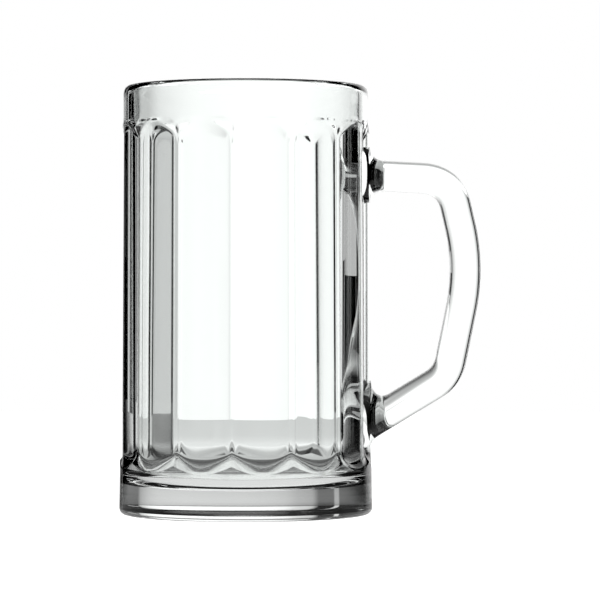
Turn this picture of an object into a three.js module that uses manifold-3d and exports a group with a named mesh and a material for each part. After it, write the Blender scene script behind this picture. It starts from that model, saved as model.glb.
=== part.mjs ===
// A pressed-glass beer mug: a panelled barrel on a thick base, with a handle fused to its side.
// Millimetres, +Z up. The origin is the middle of the underside, and the handle points along +X.
import * as THREE from 'three';
import { mergeVertices } from 'three/addons/utils/BufferGeometryUtils.js';
import Module from 'manifold-3d';

// Barrel and foot
const HEIGHT = 152;
const RIM_RADIUS = 43.5;
const RIM_WALL = 3.6;
const LIP_HEIGHT = 3;
const SHOULDER_RADIUS = 44.2;
const FOOT_TOP_RADIUS = 44.8;
const FOOT_RADIUS = 45;
const FOOT_HEIGHT = 16;
const FOOT_EDGE = 2.2;

// Inside of the barrel
const FLOOR_THICKNESS = 10;
const BORE_FOOT_RADIUS = 39.8;
const FLOOR_CORNER_WIDTH = 12;
const FLOOR_CORNER_HEIGHT = 7;

// Panels: arch-topped lobes with flat grooves between them, a little proud of the plain band under the lip
const PANEL_COUNT = 13;
const PANEL_RISE = 0.35;
const PANEL_CROWN = 2.2; // drop from a panel's middle to the middle of the groove, if it went on
const PLAIN_BAND = 13.6;
const PANEL_TOP_CORNER = 4.6;
const PANEL_TOP_STEP = 1.2;
const GROOVE_DEPTH = 1.7;

// The panels' lower ends draw in above the foot's scalloped edge
const SCALLOP_RISE = 2.8;
const NECK_DEPTH = 0.7;
const NECK_HEIGHT = 9;
const LEDGE = 0.3;

// Handle bar: its middle line leaves the barrel at the upper root, runs out to the grip, bows, and comes back
const BAR_THICKNESS = 11;
const BAR_WIDTH = 15;
const BAR_SQUARENESS = 2.8;
const UPPER_ROOT_Z = 120.6;
const UPPER_CORNER = { x: 72.6, z: 119, radius: 13 };
const GRIP_BOW = { x: 79.8, z: 87.7, radius: 70 };
const LOWER_CORNER = { x: 71.9, z: 49, radius: 13 };
const LOWER_ROOT_Z = 29.6;

// Fillets where the bar swells into the wall, on the handle's outer side, its finger side and its two flanks
const UPPER_FILLETS = {
  outer: { length: 4.8, height: 4.6 }, inner: { length: 4.8, height: 4.6 }, flank: { length: 4.8, height: 4 },
};
const LOWER_FILLETS = {
  outer: { length: 2.4, height: 1.8 }, inner: { length: 8.5, height: 9 }, flank: { length: 4.8, height: 4 },
};
const ROOT_SQUARING = 14; // length over which the bar's sections turn upright towards the wall

// The handle's roots follow the wall with a hair of room
const ROOT_GAP = 0.3;

// Facets
const COLUMNS_PER_HALF_PANEL = 4;
const COLUMN_CROWDING = 1.5;
const NECK_ROWS = 3;
const WALL_ROWS = 3;
const ARC_ROWS = 5;
const BAR_STEPS = 46;
const BAR_SIDES = 16;
const BAR_END_CROWDING = 0.7;

const wasm = await Module();
wasm.setup();

// A closed solid from a three.js geometry that has only positions, with its double points welded
function solid(geometry) {
  const welded = mergeVertices(geometry);
  const index = welded.index.array;
  const triangles = [];
  for (let i = 0; i < index.length; i += 3) {
    const [a, b, c] = index.subarray(i, i + 3);
    if (a !== b && b !== c && c !== a) triangles.push(a, b, c);
  }
  return new wasm.Manifold(new wasm.Mesh({
    numProp: 3,
    vertProperties: new Float32Array(welded.attributes.position.array),
    triVerts: new Uint32Array(triangles),
  }));
}

function geometryOf(manifold) {
  const mesh = manifold.getMesh();
  const geometry = new THREE.BufferGeometry();
  geometry.setAttribute('position', new THREE.BufferAttribute(mesh.vertProperties, 3));
  geometry.setIndex(new THREE.BufferAttribute(mesh.triVerts, 1));
  geometry.computeVertexNormals();
  return geometry;
}

// Rings of points, each with as many, skinned from one to the next and capped at both ends
function loft(rings) {
  const count = rings[0].length;
  const index = [];
  for (let ring = 1; ring < rings.length; ring += 1) {
    for (let side = 0; side < count; side += 1) {
      const next = (side + 1) % count;
      const [a, b] = [(ring - 1) * count + side, (ring - 1) * count + next];
      const [c, d] = [a + count, b + count];
      index.push(a, b, c, b, d, c);
    }
  }
  const last = (rings.length - 1) * count;
  for (let side = 1; side < count - 1; side += 1) {
    index.push(0, side + 1, side);
    index.push(last, last + side, last + side + 1);
  }
  const geometry = new THREE.BufferGeometry();
  geometry.setAttribute('position', new THREE.Float32BufferAttribute(rings.flat(2), 3));
  geometry.setIndex(index);
  return geometry;
}

// Radius of the plain barrel, without its panels
function barrelRadius(z) {
  const share = (z - FOOT_HEIGHT) / (HEIGHT - FOOT_HEIGHT);
  return SHOULDER_RADIUS + (RIM_RADIUS - SHOULDER_RADIUS) * share;
}

// How far a turn about the axis lies from the middle of its panel, as a turn
function asideOf(turn) {
  const pitch = 2 * Math.PI / PANEL_COUNT;
  return Math.abs(THREE.MathUtils.euclideanModulo(turn + pitch / 2, pitch) - pitch / 2);
}

// Height of the foot's scalloped edge, which rises to a point under each groove
function scallop(turn) {
  return FOOT_HEIGHT + LEDGE + SCALLOP_RISE * (asideOf(turn) * PANEL_COUNT / Math.PI) ** 2;
}

// How far the panels, their grooves and the foot stand out from the plain barrel at a turn and a height
function panelRelief(turn, z) {
  const { smoothstep, lerp } = THREE.MathUtils;
  const radius = barrelRadius(z);
  const across = radius * asideOf(turn);
  const halfPitch = Math.PI * radius / PANEL_COUNT;
  const outward = (across / halfPitch) ** 2;
  const lobe = PANEL_RISE - Math.min(PANEL_CROWN * outward, GROOVE_DEPTH);
  const pastTop = z - (HEIGHT - PLAIN_BAND - PANEL_TOP_CORNER);
  const inCorner = smoothstep(pastTop, -PANEL_TOP_CORNER, PANEL_TOP_STEP);
  const pastSide = Math.max(across - (halfPitch - PANEL_TOP_CORNER), 0) * inCorner;
  const inside = PANEL_TOP_CORNER - Math.hypot(pastSide, Math.max(pastTop, 0));
  const arched = lobe * smoothstep(inside, -PANEL_TOP_STEP, PANEL_TOP_STEP);
  const aboveFoot = z - scallop(turn);
  const neck = NECK_DEPTH * (1 - outward) * (1 - smoothstep(aboveFoot, 0, NECK_HEIGHT));
  return lerp(FOOT_TOP_RADIUS - SHOULDER_RADIUS, arched - neck, smoothstep(aboveFoot, -LEDGE, LEDGE));
}

// Turns about the axis of the barrel's columns, crowded at the grooves
function columnTurns() {
  const halfPitch = Math.PI / PANEL_COUNT;
  const turns = [];
  for (let panel = 0; panel < PANEL_COUNT; panel += 1) {
    for (let step = -COLUMNS_PER_HALF_PANEL; step < COLUMNS_PER_HALF_PANEL; step += 1) {
      const fromGroove = (1 - Math.abs(step) / COLUMNS_PER_HALF_PANEL) ** COLUMN_CROWDING;
      turns.push(halfPitch * (2 * panel + Math.sign(step) * (1 - fromGroove)));
    }
  }
  return turns;
}

// Evenly spaced values from one to another, both of them included
function span(from, to, steps) {
  return Array.from({ length: steps + 1 }, (_, step) => THREE.MathUtils.lerp(from, to, step / steps));
}

// Rings up the barrel's outside from the foot's scalloped edge to the lip, grown by a margin
function barrelRings(margin) {
  const archHead = HEIGHT - PLAIN_BAND + PANEL_TOP_STEP;
  const archFoot = HEIGHT - PLAIN_BAND - PANEL_TOP_CORNER;
  const neckTop = FOOT_HEIGHT + LEDGE + SCALLOP_RISE + NECK_HEIGHT;
  const turns = columnTurns();
  const ringAt = (heightAt) => turns.map((turn) => {
    const z = heightAt(turn);
    const radius = barrelRadius(z) + panelRelief(turn, z) + margin;
    return [radius * Math.cos(turn), radius * Math.sin(turn), z];
  });
  const ledge = ringAt((turn) => scallop(turn) - LEDGE);
  const neck = span(0, 1, NECK_ROWS).map(
    (share) => ringAt((turn) => THREE.MathUtils.lerp(scallop(turn) + LEDGE, neckTop, share)),
  );
  const heights = [
    ...span(neckTop, archFoot, WALL_ROWS).slice(1),
    ...span(archFoot, archHead, ARC_ROWS).slice(1),
    HEIGHT - LIP_HEIGHT,
  ];
  return [ledge, ...neck, ...heights.map((z) => ringAt(() => z))];
}

// A ring about the axis for each point of a profile, in the barrel's columns
function turnedRings(points) {
  return points.map(({ x, y }) => columnTurns().map((turn) => [x * Math.cos(turn), x * Math.sin(turn), y]));
}

function mugBody() {
  const lipFoot = HEIGHT - LIP_HEIGHT;
  const boreAtLip = RIM_RADIUS - RIM_WALL;
  const foot = new THREE.Path();
  foot.absarc(FOOT_RADIUS - FOOT_EDGE, FOOT_EDGE, FOOT_EDGE, -Math.PI / 2, 0);
  const inside = new THREE.Path();
  inside.absellipse(RIM_RADIUS - RIM_WALL / 2, lipFoot, RIM_WALL / 2, LIP_HEIGHT, 0, Math.PI);
  inside.lineTo(boreAtLip, lipFoot);
  inside.lineTo(BORE_FOOT_RADIUS, FLOOR_THICKNESS + FLOOR_CORNER_HEIGHT);
  inside.absellipse(
    BORE_FOOT_RADIUS - FLOOR_CORNER_WIDTH, FLOOR_THICKNESS + FLOOR_CORNER_HEIGHT,
    FLOOR_CORNER_WIDTH, FLOOR_CORNER_HEIGHT, 0, -Math.PI / 2, true,
  );
  return solid(loft([
    ...turnedRings(foot.getPoints(ARC_ROWS)),
    ...barrelRings(0),
    ...turnedRings(inside.getPoints(ARC_ROWS).slice(1)),
  ]));
}

// The bar's middle line in the XZ plane, from inside the wall at the upper root to inside it at the lower one
function barLine() {
  const stops = [
    new THREE.Vector2(RIM_RADIUS - RIM_WALL, UPPER_ROOT_Z),
    new THREE.Vector2(UPPER_CORNER.x, UPPER_CORNER.z),
    new THREE.Vector2(GRIP_BOW.x, GRIP_BOW.z),
    new THREE.Vector2(LOWER_CORNER.x, LOWER_CORNER.z),
    new THREE.Vector2(RIM_RADIUS - RIM_WALL, LOWER_ROOT_Z),
  ];
  const radii = [0, UPPER_CORNER.radius, GRIP_BOW.radius, LOWER_CORNER.radius, 0];
  const line = new THREE.Path().moveTo(stops[0].x, stops[0].y);
  for (let i = 1; i < stops.length - 1; i += 1) {
    const arriving = stops[i].clone().sub(stops[i - 1]).normalize();
    const leaving = stops[i + 1].clone().sub(stops[i]).normalize();
    const setback = radii[i] * Math.tan(Math.acos(arriving.dot(leaving)) / 2);
    const start = stops[i].clone().addScaledVector(arriving, -setback);
    const end = stops[i].clone().addScaledVector(leaving, setback);
    line.lineTo(start.x, start.y);
    line.quadraticCurveTo(stops[i].x, stops[i].y, end.x, end.y);
  }
  return line.lineTo(stops.at(-1).x, stops.at(-1).y);
}

// How far a fillet swells the bar at a distance from the wall: a quarter ellipse
function swell({ length, height }, distance) {
  const left = THREE.MathUtils.clamp(1 - distance / length, 0, 1);
  return height * (1 - Math.sqrt(1 - left ** 2));
}

// Rings of a rounded-box section carried along the bar's middle line, which starts and ends inside the wall
function barRings() {
  const line = barLine();
  const superRound = (value) => Math.sign(value) * Math.abs(value) ** (2 / BAR_SQUARENESS);
  return span(0, 1, BAR_STEPS).map((even) => {
    const along = even - BAR_END_CROWDING * Math.sin(2 * Math.PI * even) / (2 * Math.PI);
    const middle = line.getPointAt(along);
    const tangent = line.getTangentAt(along);
    const normal = new THREE.Vector2(-tangent.y, tangent.x);
    const upright = new THREE.Vector2(0, Math.sign(normal.y));
    const distance = middle.x - barrelRadius(middle.y) - PANEL_RISE;
    const squaring = 1 - THREE.MathUtils.smoothstep(distance, 0, ROOT_SQUARING);
    const outward = normal.clone().lerp(upright, squaring).normalize();
    const halfThickness = BAR_THICKNESS / 2 / outward.dot(normal);
    const fillets = middle.y > GRIP_BOW.z ? UPPER_FILLETS : LOWER_FILLETS;
    const halfWidth = BAR_WIDTH / 2 + swell(fillets.flank, distance);
    return Array.from({ length: BAR_SIDES }, (_, side) => {
      const angle = 2 * Math.PI * side / BAR_SIDES;
      const fillet = Math.cos(angle) > 0 ? fillets.outer : fillets.inner;
      const across = (halfThickness + swell(fillet, distance)) * superRound(Math.cos(angle));
      const sideways = -halfWidth * superRound(Math.sin(angle));
      return [middle.x + outward.x * across, sideways, middle.y + outward.y * across];
    });
  });
}

function handle() {
  return solid(loft(barRings())).subtract(solid(loft(barrelRings(ROOT_GAP))));
}

function piece(name, manifold, material) {
  const mesh = new THREE.Mesh(geometryOf(manifold), material);
  mesh.name = name;
  return mesh;
}

const barrelGlass = new THREE.MeshStandardMaterial({
  color: 0xf2f6f5, roughness: 0.03, metalness: 0, transparent: true, opacity: 0.35,
});
const handleGlass = new THREE.MeshStandardMaterial({
  color: 0xf6f9f8, roughness: 0.05, metalness: 0, transparent: true, opacity: 0.35,
});

const mug = new THREE.Group();
mug.add(piece('mug_body', mugBody(), barrelGlass));
mug.add(piece('handle', handle(), handleGlass));

export default mug;
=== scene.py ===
# A pressed-glass beer mug: a panelled barrel on a thick solid base, with a glass handle fused to its side.
# Sizes are in millimetres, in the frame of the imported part. Meshes are in metres.
import math

import bmesh
import bpy
import numpy as np
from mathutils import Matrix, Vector


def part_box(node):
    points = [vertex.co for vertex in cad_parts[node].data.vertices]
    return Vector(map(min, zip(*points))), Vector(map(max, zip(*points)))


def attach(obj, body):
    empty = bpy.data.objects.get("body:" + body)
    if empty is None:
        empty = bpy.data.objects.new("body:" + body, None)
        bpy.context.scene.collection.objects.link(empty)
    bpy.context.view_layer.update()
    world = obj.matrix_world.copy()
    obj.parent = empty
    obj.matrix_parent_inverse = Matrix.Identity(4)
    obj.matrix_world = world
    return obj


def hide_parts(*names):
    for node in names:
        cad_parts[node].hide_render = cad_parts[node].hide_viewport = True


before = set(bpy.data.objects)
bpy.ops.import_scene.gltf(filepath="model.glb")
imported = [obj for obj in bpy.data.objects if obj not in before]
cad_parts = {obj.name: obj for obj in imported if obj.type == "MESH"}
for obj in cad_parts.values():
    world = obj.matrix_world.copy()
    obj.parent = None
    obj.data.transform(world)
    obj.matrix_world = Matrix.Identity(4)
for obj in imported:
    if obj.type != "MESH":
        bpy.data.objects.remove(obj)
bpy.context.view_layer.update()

MM = 0.001
mug_low, mug_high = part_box("mug_body")

# Barrel, foot and bore
HEIGHT = mug_high.z / MM
FOOT_RADIUS = -mug_low.y / MM
RIM_RADIUS = 43.5
RIM_WALL = 3.6
SHOULDER_RADIUS = 44.2
FOOT_TOP_RADIUS = 44.8
FOOT_HEIGHT = 16
FOOT_EDGE = 2.2
LIP_HEIGHT = 3
FLOOR_THICKNESS = 10
BORE_FOOT_RADIUS = 39.8
FLOOR_CORNER_WIDTH = 12
FLOOR_CORNER_HEIGHT = 7

# Panels: arch-topped lobes with flat grooves between, which end in coves on a scalloped line at the foot
PANEL_COUNT = 13
PANEL_RISE = 0.35
PANEL_CROWN = 2.2
PLAIN_BAND = 13.6
PANEL_TOP = HEIGHT - PLAIN_BAND
PANEL_TOP_CORNER = 4.6
PANEL_TOP_STEP = 1.2
GROOVE_DEPTH = 1.7
GROOVE_ROUNDING = 0.25
GROOVE_FADE = 6
SCALLOP_LOW = 16.3
SCALLOP_RISE = 2.8
COVE_HEIGHT = 5

# Handle bar: each bend is a place in the XZ plane and a radius, each root fillet a length and a height
BAR_THICKNESS = 11
BAR_WIDTH = 15
BAR_SQUARENESS = 2.8
UPPER_ROOT_Z = 120.6
UPPER_CORNER = (72.6, 119, 13)
GRIP_BOW = (79.8, 87.7, 70)
LOWER_CORNER = (71.9, 49, 13)
LOWER_ROOT_Z = 29.6
UPPER_FILLETS = {"outer": (4.8, 4.6), "inner": (4.8, 4.6), "flank": (5.5, 3.6)}
LOWER_FILLETS = {"outer": (2.4, 1.8), "inner": (8.5, 9), "flank": (5.5, 3.6)}
FLARE_CURVE = 1.1
FLARE_END = 1.8
ROOT_SQUARING = 14

# Glass, and plain white
GLASS_TINT = "#FCFEFD"
GLASS_IOR = 1.52
WHITE = "#FFFFFF"

# Mesh fineness
GROOVE_COLUMNS = 3
CREASE_COLUMNS = 6
LOBE_COLUMNS = 17
CREASE_SHARE = 0.025
ARC_ROWS = 10
SCALLOP_ROWS = 30
COVE_ROWS = 20
PANEL_ROWS = 8
ARCH_ROWS = 28
BAND_ROWS = 6
BELOW_ARCH = 2
ABOVE_ARCH = 1
UNDERSIDE_ROWS = 5
BORE_ROWS = 16
FLOOR_ROWS = 5
FLOOR_MIDDLE_RADIUS = 5
BAR_RINGS = 220
BAR_SIDES = 72
BAR_END_CROWDING = 0.7
CURVE_STEPS = 24
SEAM_WELD = 0.002

# Material places on the blanks, and then on the pieces
OF_BARREL, OF_BAR = 0, 1
GLASS, SEAM = 0, 1

# Camera, level, across the mug from the light panel
CAMERA_TURN = math.radians(1.6)
CAMERA_DISTANCE = 1085
CAMERA_HEIGHT = 76
CAMERA_ASIDE = 19.3
FRAME_WIDTH = 213.6

# Table, and the painted glow it shows through the glass, with painted shadow close to the foot: pairs of
# distance from the mug's axis and level
TABLE_RADIUS = 1000
TABLE_SIDES = 128
TABLE_GAP = 0.2
TABLE_COLOUR = "#E0E0E0"
TABLE_POLISH = "#D2D2D2"
TABLE_ROUGHNESS = 0.12
TABLE_IOR = 1.5
PAINTED_GLOW_BEHIND = [
    (0, 0.0), (92, 0.0), (110, 0.6), (150, 0.4), (200, 0.5), (300, 1.6), (400, 2.8), (600, 3.0),
    (1000, 3.4),
]
# Painted dim glow under the foot, and painted glow beside and in front of the mug
PAINTED_GLOW_UNDER = [(0, 0.2), (46, 0.2), (60, 0.0)]
PAINTED_GLOW_AROUND = 0.6
TABLE_WHITE = 1.8
TABLE_SHADOW = 0.3

# Turns on the table: the middle of the painted glow behind the mug, and angles from that middle
BEHIND_TURN = math.radians(10)
BEHIND_FULL = math.radians(26)
BEHIND_END = math.radians(46)
AROUND_START = math.radians(53.13)
AROUND_FULL = math.radians(78.46)

# Lights behind the mug: lowest edge, highest edge, and pairs of a place across and a level
PANEL_DISTANCE = 488
MAIN_LIGHT = (11, 600, [
    (-323, 0.0), (-315, 0.66), (-290, 0.66), (-281, 0.0), (-205, 0.0), (-180, 0.6), (-130, 0.75),
    (-100, 1.0), (-70, 1.1), (0, 1.2), (140, 1.25), (260, 1.2), (330, 1.0), (410, 0.6), (450, 0.0),
])
LOW_WINDOW = (84, 142, [(445, 0.0), (460, 0.45), (600, 0.5), (725, 0.55), (770, 0.0)])

# Room round the mug: pairs of a turn from straight behind it in degrees and a level
ROOM = [(-180, 0.45), (-125, 0.4), (-105, 0.0), (105, 0.0), (125, 0.4), (180, 0.45)]
CEILING_FROM = math.radians(40)
CEILING_FULL = math.radians(58)
CEILING_LEVEL = 0.15
LIGHT_BOUNCES = 40


def smoothstep(value, low, high):
    share = np.clip((value - low) / (high - low), 0, 1)
    return share * share * (3 - 2 * share)


def soft_min(first, second, rounding):
    """The smaller of two values, with the crease between them rounded."""
    blend = np.clip(0.5 + 0.5 * (second - first) / rounding, 0, 1)
    return second + (first - second) * blend - rounding * blend * (1 - blend)


def barrel_radius(z):
    share = (z - FOOT_HEIGHT) / (HEIGHT - FOOT_HEIGHT)
    return SHOULDER_RADIUS + (RIM_RADIUS - SHOULDER_RADIUS) * share


def panel_relief(turn, z):
    """How far the panels, their grooves and the foot stand out from the plain barrel at a place on it."""
    pitch = 2 * math.pi / PANEL_COUNT
    aside = np.abs((turn + pitch / 2) % pitch - pitch / 2)
    radius = barrel_radius(z)
    across = radius * aside
    half_pitch = pitch * radius / 2
    outward = (across / half_pitch) ** 2
    depth = GROOVE_DEPTH * smoothstep(PANEL_TOP - z, 0, GROOVE_FADE)
    lobe = PANEL_RISE - soft_min(PANEL_CROWN * outward, depth, GROOVE_ROUNDING)
    past_top = z - (PANEL_TOP - PANEL_TOP_CORNER)
    past_side = np.maximum(across - (half_pitch - PANEL_TOP_CORNER), 0)
    past_side = past_side * smoothstep(past_top, -PANEL_TOP_CORNER, PANEL_TOP_STEP)
    inside = PANEL_TOP_CORNER - np.hypot(past_side, np.maximum(past_top, 0))
    lobe = lobe * smoothstep(inside, -PANEL_TOP_STEP, PANEL_TOP_STEP)
    above_foot = z - SCALLOP_LOW - SCALLOP_RISE * outward
    cove = (1 - np.clip(above_foot / COVE_HEIGHT, 0, 1)) ** 2
    return lobe * (1 - cove) + (FOOT_TOP_RADIUS - SHOULDER_RADIUS) * cove


def column_turns():
    """Turns about the axis of the barrel's columns, crowded where the lobes meet the grooves."""
    half_pitch = math.pi / PANEL_COUNT
    crease = 1 - math.sqrt(GROOVE_DEPTH / PANEL_CROWN)
    shares = np.concatenate([
        np.linspace(0, crease - CREASE_SHARE, GROOVE_COLUMNS, endpoint=False),
        np.linspace(crease - CREASE_SHARE, crease + CREASE_SHARE, CREASE_COLUMNS, endpoint=False),
        np.linspace(crease + CREASE_SHARE, 1, LOBE_COLUMNS, endpoint=False),
    ])
    from_groove = half_pitch * shares
    one_panel = np.concatenate([from_groove - half_pitch, [0], half_pitch - from_groove[:0:-1]])
    return np.concatenate([one_panel + 2 * half_pitch * i for i in range(PANEL_COUNT)])


def arc(centre_radius, centre_z, radius, height, start, end):
    """Points of an elliptic arc in the barrel's profile, as pairs of radius and height."""
    angles = np.radians(np.linspace(start, end, ARC_ROWS + 1))
    return [(centre_radius + radius * math.cos(a), centre_z + height * math.sin(a)) for a in angles]


def barrel_heights():
    """Heights of the rows up the barrel's outside, close together at the panels' two ends."""
    scallop_top = SCALLOP_LOW + SCALLOP_RISE
    cove_top = scallop_top + COVE_HEIGHT
    arch_foot = PANEL_TOP - PANEL_TOP_CORNER - BELOW_ARCH
    arch_head = PANEL_TOP + ABOVE_ARCH
    lip_foot = HEIGHT - LIP_HEIGHT
    return np.concatenate([
        np.linspace(FOOT_HEIGHT, scallop_top, SCALLOP_ROWS, endpoint=False),
        np.linspace(scallop_top, cove_top, COVE_ROWS, endpoint=False),
        np.linspace(cove_top, arch_foot, PANEL_ROWS, endpoint=False),
        np.linspace(arch_foot, arch_head, ARCH_ROWS, endpoint=False),
        np.linspace(arch_head, lip_foot, BAND_ROWS),
    ])


def link_object(name, data):
    piece = bpy.data.objects.new(name, data)
    bpy.context.scene.collection.objects.link(piece)
    return piece


def mesh_object(name, vertices, faces):
    mesh = bpy.data.meshes.new(name)
    mesh.from_pydata((np.asarray(vertices) * MM).tolist(), [], faces)
    mesh.validate()
    mesh.shade_smooth()
    return link_object(name, mesh)


def strips(rows, columns):
    """Quads between rows of a tube that closes round on itself."""
    quads = []
    for row in range(rows - 1):
        for column in range(columns):
            after = (column + 1) % columns
            low, high = row * columns, (row + 1) * columns
            quads.append((low + column, low + after, high + after, high + column))
    return quads


def barrel_profile():
    """The barrel's rows as radius and height: below the panels, in them, and over the lip to the floor."""
    lip_foot = HEIGHT - LIP_HEIGHT
    bore_at_lip = RIM_RADIUS - RIM_WALL
    corner_z = FLOOR_THICKNESS + FLOOR_CORNER_HEIGHT
    floor_edge = BORE_FOOT_RADIUS - FLOOR_CORNER_WIDTH
    flat_edge = FOOT_RADIUS - FOOT_EDGE
    flat_radii = np.linspace(FOOT_RADIUS / UNDERSIDE_ROWS, flat_edge, UNDERSIDE_ROWS)
    underside = [(radius, 0) for radius in flat_radii[:-1]]
    foot_edge = arc(flat_edge, FOOT_EDGE, FOOT_EDGE, FOOT_EDGE, -90, 0)
    foot = [((FOOT_RADIUS + FOOT_TOP_RADIUS) / 2, (FOOT_EDGE + FOOT_HEIGHT) / 2)]
    panelled = [(barrel_radius(z), z) for z in barrel_heights()]
    rim = arc(RIM_RADIUS - RIM_WALL / 2, lip_foot, RIM_WALL / 2, LIP_HEIGHT, 0, 180)[1:]
    bore = []
    for share in np.linspace(0, 1, BORE_ROWS)[1:-1]:
        radius = bore_at_lip + (BORE_FOOT_RADIUS - bore_at_lip) * share
        bore.append((radius, lip_foot + (corner_z - lip_foot) * share))
    floor_corner = arc(floor_edge, corner_z, FLOOR_CORNER_WIDTH, FLOOR_CORNER_HEIGHT, 0, -90)
    floor_radii = np.linspace(floor_edge, FLOOR_MIDDLE_RADIUS, FLOOR_ROWS)
    floor = [(radius, FLOOR_THICKNESS) for radius in floor_radii[1:]]
    return underside + foot_edge + foot, panelled, rim + bore + floor_corner + floor


def barrel_blank():
    """The barrel, foot, lip, bore and floor as one closed skin, before the handle joins it."""
    turns = column_turns()
    below, panelled, above = barrel_profile()
    rows = []
    for index, (radius, z) in enumerate(below + panelled + above):
        in_panels = len(below) <= index < len(below) + len(panelled)
        radii = radius + panel_relief(turns, z) if in_panels else np.full(len(turns), radius)
        rows.append(np.column_stack([radii * np.cos(turns), radii * np.sin(turns), np.full(len(turns), z)]))
    columns = len(turns)
    under_middle = len(rows) * columns
    floor_middle = under_middle + 1
    last = (len(rows) - 1) * columns
    faces = strips(len(rows), columns)
    for column in range(columns):
        after = (column + 1) % columns
        faces.append((under_middle, after, column))
        faces.append((last + column, last + after, floor_middle))
    vertices = np.concatenate(rows + [[(0, 0, 0), (0, 0, FLOOR_THICKNESS)]])
    return mesh_object("barrel_blank", vertices, faces)


def bar_line():
    """Points of the bar's middle line in the XZ plane, with rounded corners, from root to root."""
    wall = RIM_RADIUS - RIM_WALL
    bends = [UPPER_CORNER, GRIP_BOW, LOWER_CORNER]
    stops = np.array([(wall, UPPER_ROOT_Z)] + [(x, z) for x, z, _ in bends] + [(wall, LOWER_ROOT_Z)])
    radii = [radius for _, _, radius in bends]
    points = [stops[0]]
    for before, stop, after, radius in zip(stops, stops[1:], stops[2:], radii):
        arriving = (stop - before) / np.linalg.norm(stop - before)
        leaving = (after - stop) / np.linalg.norm(after - stop)
        setback = radius * math.tan(math.acos(arriving @ leaving) / 2)
        start, end = stop - arriving * setback, stop + leaving * setback
        for share in np.linspace(0, 1, CURVE_STEPS):
            points.append((1 - share) ** 2 * start + 2 * share * (1 - share) * stop + share ** 2 * end)
    return np.array(points + [stops[-1]])


def swell(fillet, distance):
    """How far a root fillet swells the bar at a distance from the wall: a quarter ellipse."""
    length, height = fillet
    left = np.clip(1 - distance / length, 0, 1)
    return height * (1 - np.sqrt(1 - left ** 2))


def flare(fillet, distance):
    """How far a root flank flares at a distance from the wall: nearly a cone, on into the wall."""
    length, height = fillet
    return height * np.clip(1 - distance / length, 0, FLARE_END) ** FLARE_CURVE


def bar_blank():
    """The handle bar as a rounded-box section carried along its middle line, into the wall at both ends."""
    line = bar_line()
    lengths = np.concatenate([[0], np.cumsum(np.linalg.norm(np.diff(line, axis=0), axis=1))])
    even = np.linspace(0, 1, BAR_RINGS)
    along = (even - BAR_END_CROWDING * np.sin(2 * math.pi * even) / (2 * math.pi)) * lengths[-1]
    step = lengths[-1] / BAR_RINGS
    middles, ahead, behind = [
        np.column_stack([np.interp(places, lengths, line[:, axis]) for axis in (0, 1)])
        for places in (along, along + step, along - step)
    ]
    angles = np.linspace(0, 2 * math.pi, BAR_SIDES, endpoint=False)
    across_shape = np.sign(np.cos(angles)) * np.abs(np.cos(angles)) ** (2 / BAR_SQUARENESS)
    side_shape = -np.sign(np.sin(angles)) * np.abs(np.sin(angles)) ** (2 / BAR_SQUARENESS)
    outer_side = np.cos(angles) > 0
    rings = []
    for middle, tangent in zip(middles, ahead - behind):
        tangent = tangent / np.linalg.norm(tangent)
        normal = np.array([-tangent[1], tangent[0]])
        wall_radius = barrel_radius(middle[1]) + PANEL_RISE
        squaring = 1 - smoothstep(middle[0] - wall_radius, 0, ROOT_SQUARING)
        outward = normal * (1 - squaring) + np.array([0, np.sign(normal[1])]) * squaring
        outward = outward / np.linalg.norm(outward)
        half_thickness = BAR_THICKNESS / 2 / (outward @ normal)
        fillets = UPPER_FILLETS if middle[1] > GRIP_BOW[1] else LOWER_FILLETS
        wall_x = np.sqrt(wall_radius ** 2 - (side_shape * BAR_WIDTH / 2) ** 2)
        distance = middle[0] - wall_x
        fillet = np.where(outer_side, swell(fillets["outer"], distance), swell(fillets["inner"], distance))
        across = (half_thickness + fillet) * across_shape
        sideways = (BAR_WIDTH / 2 + flare(fillets["flank"], distance)) * side_shape
        rings.append(np.column_stack([
            middle[0] + outward[0] * across, sideways, middle[1] + outward[1] * across,
        ]))
    faces = strips(BAR_RINGS, BAR_SIDES)
    last = (BAR_RINGS - 1) * BAR_SIDES
    faces.append(tuple(range(BAR_SIDES - 1, -1, -1)))
    faces.append(tuple(range(last, last + BAR_SIDES)))
    return mesh_object("bar_blank", np.concatenate(rings), faces)


def cut_away(kept, tool):
    """One blank with the other cut from it, whose faces keep the material place of their own blank."""
    cut = kept.modifiers.new("cut", "BOOLEAN")
    cut.operation = "DIFFERENCE"
    cut.solver = "MANIFOLD"
    cut.object = tool
    graph = bpy.context.evaluated_depsgraph_get()
    mesh = bpy.data.meshes.new_from_object(kept.evaluated_get(graph))
    kept.modifiers.remove(cut)
    return mesh


def set_material_index(mesh, index):
    mesh.polygons.foreach_set("material_index", np.full(len(mesh.polygons), index, np.int32))


def delete_bar_faces(made, faces):
    bmesh.ops.delete(made, geom=[face for face in faces if face.material_index == OF_BAR], context="FACES")


def handle_with_seam(bar_skin):
    """The handle as a closed skin, whose faces that the barrel cut are the seam."""
    made = bmesh.new()
    made.from_mesh(bar_skin)
    for face in made.faces:
        face.material_index = GLASS if face.material_index == OF_BAR else SEAM
    return made


def barrel_with_seam(barrel_skin, bar_skin):
    """The barrel as a closed skin, where the handle's seam, turned over, fills the holes of the roots."""
    made = bmesh.new()
    made.from_mesh(bar_skin)
    delete_bar_faces(made, made.faces)
    bmesh.ops.reverse_faces(made, faces=made.faces)
    for face in made.faces:
        face.material_index = SEAM
    seam_faces = len(made.faces)
    made.from_mesh(barrel_skin)
    made.faces.ensure_lookup_table()
    delete_bar_faces(made, made.faces[seam_faces:])
    for face in made.faces[seam_faces:]:
        face.material_index = GLASS
    bmesh.ops.remove_doubles(made, verts=made.verts, dist=SEAM_WELD * MM)
    return made


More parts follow.
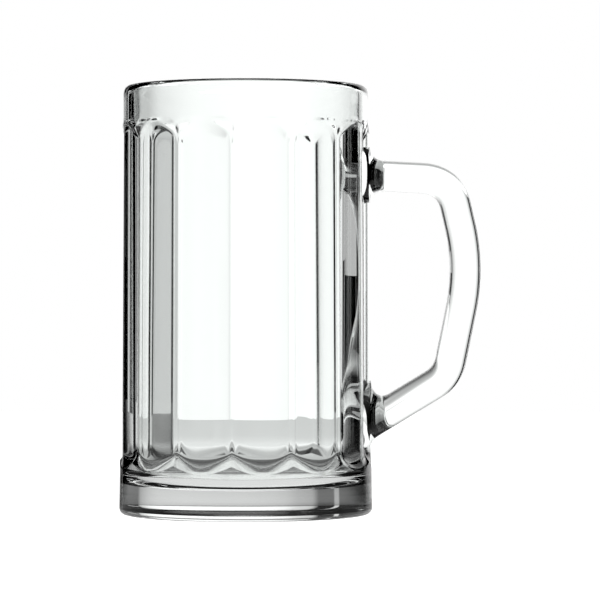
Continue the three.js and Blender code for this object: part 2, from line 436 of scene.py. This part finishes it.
def glass_piece(name, made, glass, seam):
    """A piece of glass with a sharp edge round its seam."""
    for edge in made.edges:
        edge.smooth = len({face.material_index for face in edge.link_faces}) == 1
    mesh = bpy.data.meshes.new(name)
    made.to_mesh(mesh)
    made.free()
    mesh.materials.append(glass)
    mesh.materials.append(seam)
    return link_object(name, mesh)


def fused_pieces(barrel_glass, handle_glass, seam):
    """The barrel and the handle as two closed pieces that share the seam where the roots are fused."""
    barrel = barrel_blank()
    bar = bar_blank()
    for blank, index in ((barrel, OF_BARREL), (bar, OF_BAR)):
        blank.data.materials.append(barrel_glass)
        blank.data.materials.append(handle_glass)
        set_material_index(blank.data, index)
    barrel_skin = cut_away(barrel, bar)
    bar_skin = cut_away(bar, barrel)
    for blank in (barrel, bar):
        bpy.data.objects.remove(blank)
    barrel_made = barrel_with_seam(barrel_skin, bar_skin)
    panelled_barrel = glass_piece("panelled_barrel", barrel_made, barrel_glass, seam)
    fused_handle = glass_piece("fused_handle", handle_with_seam(bar_skin), handle_glass, seam)
    return panelled_barrel, fused_handle


def linear(hex_colour):
    """An sRGB hex colour as linear red, green, blue and alpha."""
    channels = [int(hex_colour[i:i + 2], 16) / 255 for i in (1, 3, 5)]
    return [c / 12.92 if c <= 0.04045 else ((c + 0.055) / 1.055) ** 2.4 for c in channels] + [1]


def add_node(tree, kind, inputs=(), **settings):
    """A new node with its settings, and its inputs set to values or linked from other nodes' outputs."""
    node = tree.nodes.new(kind)
    for name, value in settings.items():
        setattr(node, name, value)
    for key, value in dict(inputs).items():
        if isinstance(value, bpy.types.NodeSocket):
            tree.links.new(value, node.inputs[key])
        else:
            node.inputs[key].default_value = value
    return node


def new_material(name):
    material = bpy.data.materials.new(name)
    material.use_nodes = True
    material.node_tree.nodes.clear()
    return material, material.node_tree


def fire_polished_glass(name, waviness_mm, wave_height_mm):
    """Clear soda-lime glass, pressed or drawn hot and then fire-polished.

    The flame leaves the surface glossy, with a faint slow waviness that bends what shows through it.
    """
    material, tree = new_material(name)
    place = add_node(tree, "ShaderNodeTexCoord").outputs["Object"]
    wave = add_node(tree, "ShaderNodeTexNoise", {
        "Vector": place, "Scale": 1 / (waviness_mm * MM), "Detail": 1.0,
    })
    bump = add_node(tree, "ShaderNodeBump", {
        "Height": wave.outputs["Fac"], "Distance": wave_height_mm * MM, "Strength": 1.0,
    })
    glass = add_node(tree, "ShaderNodeBsdfPrincipled", {
        "Base Color": linear(GLASS_TINT), "Roughness": 0.0, "IOR": GLASS_IOR, "Transmission Weight": 1.0,
        "Normal": bump.outputs["Normal"],
    })
    add_node(tree, "ShaderNodeOutputMaterial", {"Surface": glass.outputs["BSDF"]})
    return material


def fused_glass_seam():
    """Where hot glass has fused to glass there is no surface left, so nothing shows."""
    material, tree = new_material("fused_glass_seam")
    clear = add_node(tree, "ShaderNodeBsdfPrincipled", {"Base Color": linear(WHITE), "Alpha": 0.0})
    add_node(tree, "ShaderNodeOutputMaterial", {"Surface": clear.outputs["BSDF"]})
    return material


def level_ramp(tree, position, pairs, unit=1):
    """Levels between pairs of a place and a level, read at a position among those places."""
    first, last = pairs[0][0], pairs[-1][0]
    share = add_node(tree, "ShaderNodeMapRange", {
        "Value": position, "From Min": first * unit, "From Max": last * unit,
    })
    ramp = add_node(tree, "ShaderNodeValToRGB", {"Fac": share.outputs["Result"]})
    stops = ramp.color_ramp.elements
    for place, _ in pairs[1:-1]:
        stops.new((place - first) / (last - first))
    for stop, (_, level) in zip(stops, pairs):
        stop.color = (level, level, level, 1)
    return ramp.outputs["Color"]


def painted_table_glow(tree):
    """How brightly the table shows through the glass, as a painted glow.

    It is painted bright behind the mug, with painted shadow close to the foot there, and painted dim under,
    beside and in front of it.
    """
    place = add_node(tree, "ShaderNodeTexCoord").outputs["Object"]
    reach = add_node(tree, "ShaderNodeVectorMath", {0: place}, operation="LENGTH").outputs["Value"]
    heading = add_node(tree, "ShaderNodeVectorMath", {0: place}, operation="NORMALIZE").outputs["Vector"]
    middle = Vector((math.sin(BEHIND_TURN), math.cos(BEHIND_TURN), 0))
    backward = add_node(tree, "ShaderNodeVectorMath", {
        0: heading, 1: middle,
    }, operation="DOT_PRODUCT").outputs["Value"]
    behind = level_ramp(tree, reach, PAINTED_GLOW_BEHIND, unit=MM)
    wedge = add_node(tree, "ShaderNodeMapRange", {
        "Value": backward, "From Min": math.cos(BEHIND_END), "From Max": math.cos(BEHIND_FULL),
    }, interpolation_type="SMOOTHSTEP").outputs["Result"]
    under = level_ramp(tree, reach, PAINTED_GLOW_UNDER, unit=MM)
    lit = add_node(tree, "ShaderNodeMath", {
        0: behind, 1: wedge, 2: under,
    }, operation="MULTIPLY_ADD").outputs[0]
    around = add_node(tree, "ShaderNodeMapRange", {
        "Value": backward, "From Min": math.cos(AROUND_START), "From Max": math.cos(AROUND_FULL),
        "To Max": PAINTED_GLOW_AROUND,
    }, interpolation_type="SMOOTHSTEP").outputs["Result"]
    return add_node(tree, "ShaderNodeMath", {0: lit, 1: around}, operation="ADD").outputs[0]


def studio_floor():
    """A round pale table top with a satin polish, plain white to the camera apart from the mug's shadow,
    which to the glass glows with painted light and painted shadow close to the foot.
    """
    bpy.ops.mesh.primitive_circle_add(
        vertices=TABLE_SIDES, radius=TABLE_RADIUS * MM, fill_type="NGON", location=(0, 0, -TABLE_GAP * MM),
    )
    table = bpy.context.active_object
    table.name = "table_top"
    material, tree = new_material("white_table_painted_glow")
    matt = add_node(tree, "ShaderNodeBsdfDiffuse", {"Color": linear(TABLE_COLOUR)}).outputs[0]
    white = add_node(tree, "ShaderNodeEmission", {
        "Color": linear(WHITE), "Strength": TABLE_WHITE,
    }).outputs[0]
    backdrop = add_node(tree, "ShaderNodeMixShader", {0: TABLE_SHADOW, 1: white, 2: matt}).outputs[0]
    # Painted glow on the table top, with painted shadow close to the foot, that only the glass sees
    painted_glow = add_node(tree, "ShaderNodeEmission", {
        "Color": linear(WHITE), "Strength": painted_table_glow(tree),
    }).outputs[0]
    polish = add_node(tree, "ShaderNodeBsdfGlossy", {
        "Color": linear(TABLE_POLISH), "Roughness": TABLE_ROUGHNESS,
    }).outputs[0]
    grazing = add_node(tree, "ShaderNodeFresnel", {"IOR": TABLE_IOR}).outputs[0]
    polished = add_node(tree, "ShaderNodeMixShader", {0: grazing, 1: painted_glow, 2: polish}).outputs[0]
    path = add_node(tree, "ShaderNodeLightPath").outputs
    by_glass = add_node(tree, "ShaderNodeMath", {
        0: path["Is Glossy Ray"], 1: path["Is Transmission Ray"],
    }, operation="MAXIMUM").outputs[0]
    unseen = add_node(tree, "ShaderNodeMixShader", {0: by_glass, 1: matt, 2: polished}).outputs[0]
    shown = add_node(tree, "ShaderNodeMixShader", {0: path["Is Camera Ray"], 1: unseen, 2: backdrop})
    add_node(tree, "ShaderNodeOutputMaterial", {"Surface": shown.outputs[0]})
    table.data.materials.append(material)


def camera_axes():
    """The camera's level view direction and its right."""
    view = Vector((math.sin(CAMERA_TURN), math.cos(CAMERA_TURN), 0))
    right = Vector((math.cos(CAMERA_TURN), -math.sin(CAMERA_TURN), 0))
    return view, right


def light_panel(name, low, high, levels):
    """An upright light panel behind the mug, square to the camera, that only the glass shows."""
    view, right = camera_axes()
    left_end, right_end = levels[0][0], levels[-1][0]
    corners = []
    for across, z in ((left_end, low), (right_end, low), (right_end, high), (left_end, high)):
        corners.append(view * PANEL_DISTANCE + right * across + Vector((0, 0, z)))
    panel = mesh_object(name, corners, [(0, 1, 2, 3)])
    panel.visible_camera = False
    panel.visible_shadow = False
    material, tree = new_material(name)
    place = add_node(tree, "ShaderNodeTexCoord").outputs["Object"]
    sideways = add_node(tree, "ShaderNodeVectorMath", {
        0: place, 1: right,
    }, operation="DOT_PRODUCT").outputs["Value"]
    level = level_ramp(tree, sideways, levels, unit=MM)
    glow = add_node(tree, "ShaderNodeEmission", {"Color": level, "Strength": 1.0})
    add_node(tree, "ShaderNodeOutputMaterial", {"Surface": glow.outputs[0]})
    panel.data.materials.append(material)


def studio_world():
    """A room, dark behind and beside the mug, dim in front and above, and plain white to the camera."""
    world = bpy.data.worlds.new("studio")
    bpy.context.scene.world = world
    world.use_nodes = True
    tree = world.node_tree
    tree.nodes.clear()
    direction = add_node(tree, "ShaderNodeTexCoord").outputs["Generated"]
    parts = add_node(tree, "ShaderNodeSeparateXYZ", {"Vector": direction}).outputs
    turn = add_node(tree, "ShaderNodeMath", {0: parts["X"], 1: parts["Y"]}, operation="ARCTAN2").outputs[0]
    degrees = add_node(tree, "ShaderNodeMath", {0: turn}, operation="DEGREES").outputs[0]
    room = level_ramp(tree, degrees, ROOM)
    ceiling = add_node(tree, "ShaderNodeMapRange", {
        "Value": parts["Z"], "From Min": math.sin(CEILING_FROM), "From Max": math.sin(CEILING_FULL),
    }, interpolation_type="SMOOTHSTEP").outputs["Result"]
    level = add_node(tree, "ShaderNodeMix", {
        "Factor": ceiling, "A": room, "B": CEILING_LEVEL,
    }, data_type="FLOAT").outputs["Result"]
    path = add_node(tree, "ShaderNodeLightPath").outputs
    seen = add_node(tree, "ShaderNodeMix", {
        "Factor": path["Is Camera Ray"], "A": level, "B": 1.0,
    }, data_type="FLOAT").outputs["Result"]
    light = add_node(tree, "ShaderNodeBackground", {"Color": linear(WHITE), "Strength": seen})
    add_node(tree, "ShaderNodeOutputWorld", {"Surface": light.outputs[0]})


def photo_camera():
    """A level camera with a long lens, a little to the left of square on to the handle."""
    view, right = camera_axes()
    camera = bpy.data.cameras.new("camera")
    camera.lens = camera.sensor_width * CAMERA_DISTANCE / FRAME_WIDTH
    stand = link_object("camera", camera)
    place = right * CAMERA_ASIDE - view * CAMERA_DISTANCE + Vector((0, 0, CAMERA_HEIGHT))
    stand.location = place * MM
    stand.rotation_euler = view.to_track_quat("-Z", "Y").to_euler()
    bpy.context.scene.camera = stand


barrel_glass = fire_polished_glass("pressed_barrel_glass", waviness_mm=14, wave_height_mm=0.004)
handle_glass = fire_polished_glass("drawn_handle_glass", waviness_mm=9, wave_height_mm=0.002)
panelled_barrel, fused_handle = fused_pieces(barrel_glass, handle_glass, fused_glass_seam())
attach(panelled_barrel, "root")
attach(fused_handle, "root")
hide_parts("mug_body")
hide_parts("handle")

studio_floor()
light_panel("main_light", *MAIN_LIGHT)
light_panel("low_window", *LOW_WINDOW)
studio_world()
photo_camera()
bpy.context.scene.view_settings.view_transform = "Standard"
bpy.context.scene.cycles.max_bounces = LIGHT_BOUNCES
bpy.context.scene.cycles.transmission_bounces = LIGHT_BOUNCES
bpy.context.scene.cycles.transparent_max_bounces = LIGHT_BOUNCES
